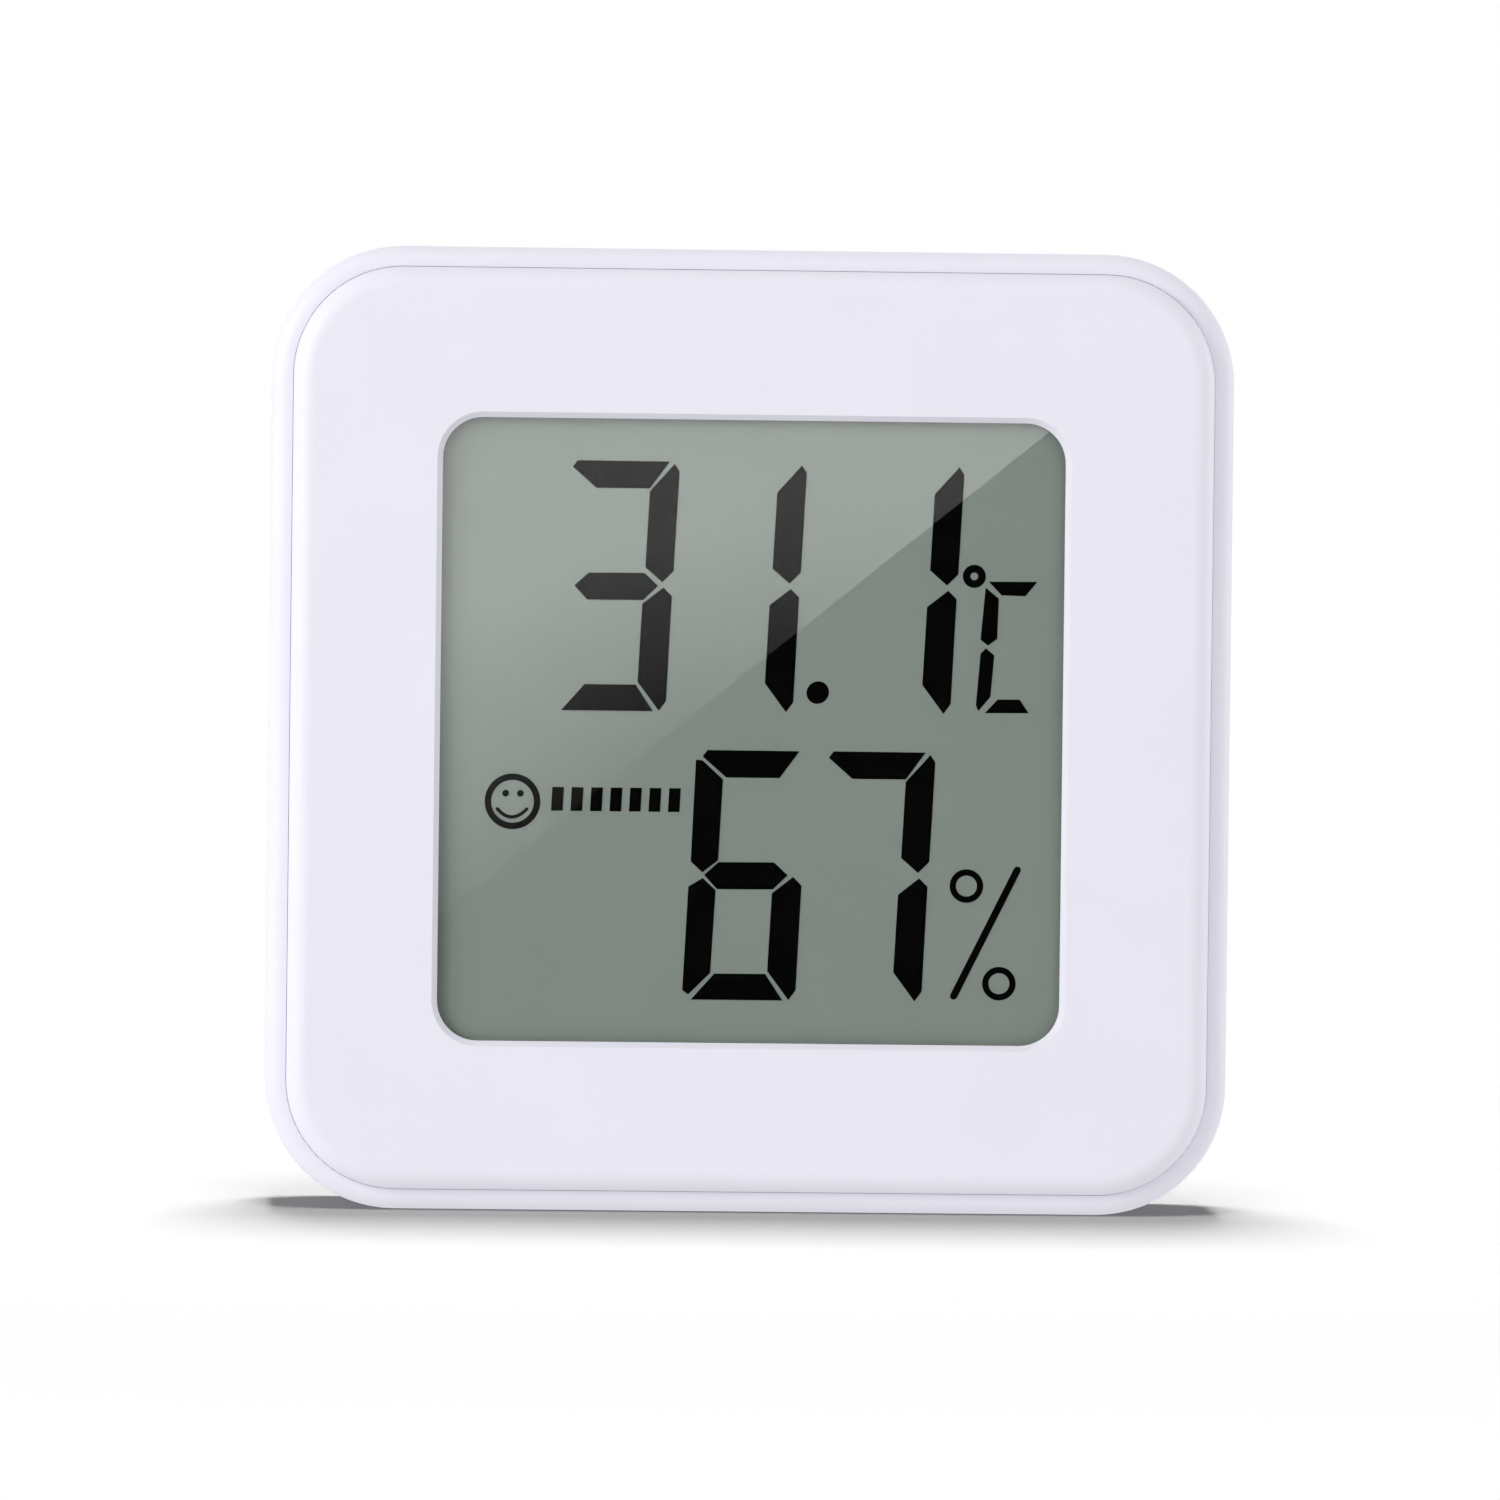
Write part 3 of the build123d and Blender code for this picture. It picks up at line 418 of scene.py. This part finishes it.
def makeSign(name, shapes):
    verts, faces = joinShapes(shapes)
    mesh = bpy.data.meshes.new(name)
    mesh.from_pydata((verts * mm).tolist(), [], faces)
    mesh.update()
    mesh.materials.append(inkMaterial)
    piece = bpy.data.objects.new(name, mesh)
    scene.collection.objects.link(piece)
    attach(piece, "case")


# corners of a digit's segments from its middle, in millimetres
segments = {
    "a": [(-2.19, 5.26), (-1.12, 4.37), (1.23, 4.37), (2.02, 5.5), (-2.02, 5.5)],
    "b": [(2.05, 0.24), (2.49, 0.7), (2.49, 5.08), (2.29, 5.36), (1.3, 4.2), (1.3, 0.86)],
    "c": [(1.26, -4.22), (2.24, -5.44), (2.5, -5.05), (2.48, -0.44), (2.12, -0.1), (1.26, -0.8)],
    "d": [(-2.07, -5.5), (1.93, -5.5), (1.12, -4.4), (-1.12, -4.4)],
    "e": [(-2.25, -5.24), (-1.36, -4.32), (-1.34, -0.69), (-1.91, -0.18), (-2.49, -0.54), (-2.48, -5.09)],
    "f": [(-1.94, 0.17), (-1.31, 0.67), (-1.31, 4.22), (-2.25, 5.04), (-2.49, 5.06), (-2.45, 0.61)],
    "g": [(-1.23, -0.58), (1.23, -0.57), (1.82, 0.02), (1.22, 0.55), (-1.23, 0.54), (-1.8, 0.0)],
}
digitForms = {"1": "bc", "3": "abcdg", "6": "acdefg", "7": "abc"}
bold = {"by": 0.04, "rise": 1.008}      # how far a segment's sides move out, and a digit's stretch upwards


def digitShapes(reading):
    # every segment of every digit, moved to the digit's place in its row
    return [tabletShape(grownOutline(segments[key], bold["by"]) * (1, bold["rise"]) + (across, reading["up"]))
            for digit, across in reading["digits"] for key in digitForms[digit]]


temperature = {"digits": (("3", -6.285), ("1", -0.6), ("1", 6.44)), "up": 6.4, "dot": (3.01, 1.74, 0.505)}
makeSign("temperature_digits", digitShapes(temperature) + [tabletShape(roundOutline(*temperature["dot"]))])

humidity = {"digits": (("6", 0.285), ("7", 5.925)), "up": -6.46}
makeSign("humidity_digits", digitShapes(humidity))

degreeSign = {
    "ring": (9.69, 7.01), "outer": 0.515, "inner": 0.175, "points": 48,
    "strokes": [
        [(10.98, 6.21), (12.01, 6.19), (12.47, 6.77), (10.4, 6.76)],
        [(10.49, 3.97), (10.84, 4.25), (10.81, 6.0), (10.25, 6.46), (10.18, 4.2)],
        [(10.24, 1.06), (10.7, 1.65), (10.76, 3.47), (10.41, 3.75), (10.22, 3.54), (10.15, 1.27)],
        [(10.58, 0.93), (12.44, 0.95), (12.03, 1.49), (11.08, 1.48)],
    ],
}
shapes = [ringShape(onDisplay(*degreeSign["ring"]), degreeSign["outer"], degreeSign["inner"],
                    degreeSign["points"])]
shapes += [tabletShape(grownOutline(points, bold["by"])) for points in degreeSign["strokes"]]
makeSign("degree_sign", shapes)

percentSign = {"rings": ((10.18, -6.83), (11.9, -11.18)), "outer": 0.75, "inner": 0.47,
               "slash": ((9.91, -11.75), (12.41, -6.1)), "width": 0.33, "points": 5}
shapes = [ringShape(onDisplay(*ring), percentSign["outer"], percentSign["inner"])
          for ring in percentSign["rings"]]
path = np.linspace(*percentSign["slash"], percentSign["points"])
shapes.append(tabletShape(strokeOutline(path, percentSign["width"])))
makeSign("percent_sign", shapes)
print("readings done")


# A plain face in a ring, and a row of level bars
faceSign = {"middle": (-10.32, -3.26), "outer": 1.24, "inner": 0.955, "eye": 0.15, "eyes": (-0.33, 0.33),
            "eyeUp": 0.36, "smile": 0.66, "smileDrop": 0.36, "smileUp": -0.34, "width": 0.15, "points": 13}
faceX, faceZ = faceSign["middle"]
shapes = [ringShape(onDisplay(faceX, faceZ), faceSign["outer"], faceSign["inner"])]
shapes += [tabletShape(roundOutline(faceX + side, faceZ + faceSign["eyeUp"], faceSign["eye"]))
           for side in faceSign["eyes"]]
share = np.linspace(-1, 1, faceSign["points"])   # the mouth drops by the square of the share to its middle
smile = np.stack([faceX + faceSign["smile"] * share,
                  faceZ + faceSign["smileUp"] - faceSign["smileDrop"] * (1 - share ** 2)], axis=1)
shapes.append(bandShape(smile, faceSign["width"]))
makeSign("face_sign", shapes)

levelBars = {"count": 7, "start": -8.32, "pitch": 0.87, "width": 0.52, "low": -3.66, "high": -2.6}
shapes = []
for index in range(levelBars["count"]):
    left = levelBars["start"] + index * levelBars["pitch"] - levelBars["width"] / 2
    edge = left + levelBars["width"]
    shapes.append(tabletShape([(left, levelBars["low"]), (edge, levelBars["low"]),
                               (edge, levelBars["high"]), (left, levelBars["high"])]))
makeSign("level_bars", shapes)
print("face and level bars done")


# Floor, room and lamps
floor = {
    "half": 1500.0,
    "lines": 5,
    "seenAt": -0.01,              # heights of the floor and of the light table under it, mm
    "tableAt": -0.02,
    "glow": 0.77,                 # the light table's level
    "seenAs": 0.229,              # the seen floor's paint
    "fade": (55.0, 140.0),        # from where to where it turns white, mm
}


def stageGrid(name, verts, rows, columns, material):
    # a grid of points, row by row, with a face for each cell, for what isn't part of the object
    row, column = np.meshgrid(np.arange(rows - 1), np.arange(columns - 1), indexing="ij")
    corner = row * columns + column
    quads = np.stack([corner, corner + columns, corner + columns + 1, corner + 1], axis=-1).reshape(-1, 4)
    mesh = bpy.data.meshes.new(name)
    mesh.from_pydata((verts.reshape(-1, 3) * mm).tolist(), [], quads.tolist())
    mesh.materials.append(material)
    piece = bpy.data.objects.new(name, mesh)
    scene.collection.objects.link(piece)
    return piece


def levelPlane(name, height, material):
    # the same height over a square of evenly spaced lines
    lines = np.linspace(-floor["half"], floor["half"], floor["lines"])
    gx, gy = np.meshgrid(lines, lines, indexing="ij")
    verts = np.stack([gx, gy, np.full(gx.shape, height)], axis=-1)
    plane = stageGrid(name, verts, floor["lines"], floor["lines"], material)
    plane.visible_glossy = False
    plane.visible_transmission = False
    return plane


def seenMaterial(name, paintLevel, fade):
    # pale paint that turns into plain white away from the case
    material = bpy.data.materials.new(name)
    tree, output = emptyTree(material)
    paint = tree.nodes.new("ShaderNodeBsdfDiffuse")
    paint.inputs["Color"].default_value = (paintLevel, paintLevel, paintLevel, 1)
    white = tree.nodes.new("ShaderNodeEmission")
    place = tree.nodes.new("ShaderNodeTexCoord")
    length = tree.nodes.new("ShaderNodeVectorMath")
    length.operation = "LENGTH"
    tree.links.new(place.outputs["Object"], length.inputs[0])
    far = spread(tree, length.outputs["Value"], 0.0, 1.0, *(limit * mm for limit in fade))
    mixShaders(tree, output, far, paint.outputs["BSDF"], white.outputs["Emission"])
    return material


def glowMaterial(name, level):
    # a glow of an even level, or of the level that a field gives it
    material = bpy.data.materials.new(name)
    tree, output = emptyTree(material)
    glow = tree.nodes.new("ShaderNodeEmission")
    glow.inputs["Strength"].default_value = level
    tree.links.new(glow.outputs["Emission"], output.inputs["Surface"])
    return material, tree, glow


# The camera sees the floor with the case's shadow. Under it a light table gives the light from below.
# Shiny things see the white room in place of both.
seenPaint = seenMaterial("seenFloor", floor["seenAs"], floor["fade"])
seenFloor = levelPlane("seenFloor", floor["seenAt"], seenPaint)
seenFloor.visible_diffuse = False
seenFloor.visible_shadow = False
lightTable = levelPlane("lightTable", floor["tableAt"], glowMaterial("lightTable", floor["glow"])[0])
lightTable.visible_camera = False

room = {"level": 0.98, "above": 0.57, "seen": 1.0}


def plainBackground(tree, level):
    background = tree.nodes.new("ShaderNodeBackground")
    background.inputs["Color"].default_value = (1, 1, 1, 1)
    background.inputs["Strength"].default_value = level
    return background


def makeRoom(look):
    # plain white to the camera and in reflections, softer as light
    world = bpy.data.worlds.new("room")
    tree, output = emptyTree(world, "ShaderNodeOutputWorld")
    soft = plainBackground(tree, look["level"])
    place = tree.nodes.new("ShaderNodeTexCoord")       # the light fades from the level towards straight above
    parts = tree.nodes.new("ShaderNodeSeparateXYZ")
    tree.links.new(place.outputs["Generated"], parts.inputs["Vector"])
    fading = spread(tree, parts.outputs["Z"], look["level"], look["above"], 0.0, 1.0)
    tree.links.new(fading, soft.inputs["Strength"])
    white = plainBackground(tree, look["seen"])
    path = tree.nodes.new("ShaderNodeLightPath")
    seen = path.outputs["Is Camera Ray"]
    for kind in ("Is Glossy Ray", "Is Transmission Ray"):
        larger = tree.nodes.new("ShaderNodeMath")
        larger.operation = "MAXIMUM"
        tree.links.new(seen, larger.inputs[0])
        tree.links.new(path.outputs[kind], larger.inputs[1])
        seen = larger.outputs["Value"]
    mixShaders(tree, output, seen, soft.outputs["Background"], white.outputs["Background"])
    scene.world = world


makeRoom(room)

lamps = {
    "keyLamp": {"at": (-430, -300, 190), "size": (300, 300), "power": 1.2},
    "leftLamp": {"at": (-480, 60, 60), "size": (300, 300), "power": 0.14},
    "rightLamp": {"at": (480, 60, 60), "size": (300, 300), "power": 0.5},
    "backLamp": {"at": (260, 620, 320), "size": (420, 420), "power": 0.4},
    "rearShadowLamp": {"at": (0, 210, 668), "size": (160, 336), "power": 14.4, "only": seenFloor},
    "frontShadowLamp": {"at": (0, -250, 654), "size": (160, 336), "power": 5.0, "only": seenFloor},
}
for name, lamp in lamps.items():
    data = bpy.data.lights.new(name, "AREA")
    data.shape = "RECTANGLE"
    data.size, data.size_y = lamp["size"][0] * mm, lamp["size"][1] * mm
    data.energy = lamp["power"]
    light = bpy.data.objects.new(name, data)
    scene.collection.objects.link(light)
    light.location = Vector(lamp["at"]) * mm
    light.rotation_euler = (Vector(view["middle"]) - Vector(lamp["at"])).to_track_quat("-Z", "Y").to_euler()
    if "only" in lamp:                # these lamps reach the seen floor alone, for the shadow
        receivers = bpy.data.collections.new(name)
        receivers.objects.link(lamp["only"])
        light.light_linking.receiver_collection = receivers
print("room and lamps done")


# Card behind the camera: the display mirrors it as a bright upper left half
card = {
    "depth": -700.0,              # where it stands, mm
    "edge": ((13.25, 13.56), (-13.76, -8.38)),   # the bright half's edge on the display, from its middle
    "strength": 2.03,
    "firstStep": 0.15,            # share of the brightness right at the edge's far end
    "fall": (0.05, 0.7),          # shares along the edge between which its step falls to that
    "fade": (1.5, 12.0),          # from the edge to full brightness at the upper end, and how much more below
    "beyond": 0.3,                # the card reaches past the edge's ends by this share of its length
    "columns": 33,
    "dark": 34.0,                 # width of the dark half, mm on the display
    "bright": 30.0,               # width of the full brightness behind the fade
    "crisp": 0.002,               # width of the step
}


def makeCard(look):
    # along the edge the step at it falls by half a cosine and the fade behind it widens; each point of the
    # card is where the ray from the mirrored camera through the display's point meets it
    start, end = (np.array(point) for point in look["edge"])
    length = np.linalg.norm(end - start)
    along = (end - start) / length
    away = np.array((-along[1], along[0]))
    away *= -np.sign(away[0])
    share = np.linspace(-look["beyond"], 1 + look["beyond"], look["columns"])
    inside = np.clip(share, 0, 1)
    fallFrom, fallTo = look["fall"]
    wave = 0.5 + 0.5 * np.cos(math.pi * np.clip((inside - fallFrom) / (fallTo - fallFrom), 0, 1))
    step = look["firstStep"] + (1 - look["firstStep"]) * wave
    fade = look["fade"][0] + look["fade"][1] * inside
    zero, one = np.zeros(len(share)), np.ones(len(share))
    offset = np.stack([zero - look["dark"], zero - look["crisp"], zero, fade, fade + look["bright"]], axis=1)
    bright = np.stack([zero, zero, step, one, one], axis=1)
    point = start + share[:, None, None] * length * along + offset[..., None] * away
    spot = np.stack([point[..., 0], np.full(offset.shape, filmY),
                     display["middle"][1] + point[..., 1]], axis=-1)
    mirrored = np.array(eye)
    mirrored[1] = 2 * filmY - mirrored[1]
    reach = (look["depth"] - mirrored[1]) / (filmY - mirrored[1])
    material, tree, glow = glowMaterial("softCard", look["strength"])
    piece = stageGrid("softCard", mirrored + (spot - mirrored) * reach, *offset.shape, material)
    light = piece.data.attributes.new("light", "FLOAT", "POINT")
    light.data.foreach_set("value", bright.ravel().astype(np.float32))
    level = tree.nodes.new("ShaderNodeAttribute")
    level.attribute_name = "light"
    strength = spread(tree, level.outputs["Fac"], 0.0, look["strength"], 0.0, 1.0)
    tree.links.new(strength, glow.inputs["Strength"])
    piece.visible_camera = False
    piece.visible_diffuse = False
    piece.visible_shadow = False
    piece.visible_volume_scatter = False


makeCard(card)
print("card done")
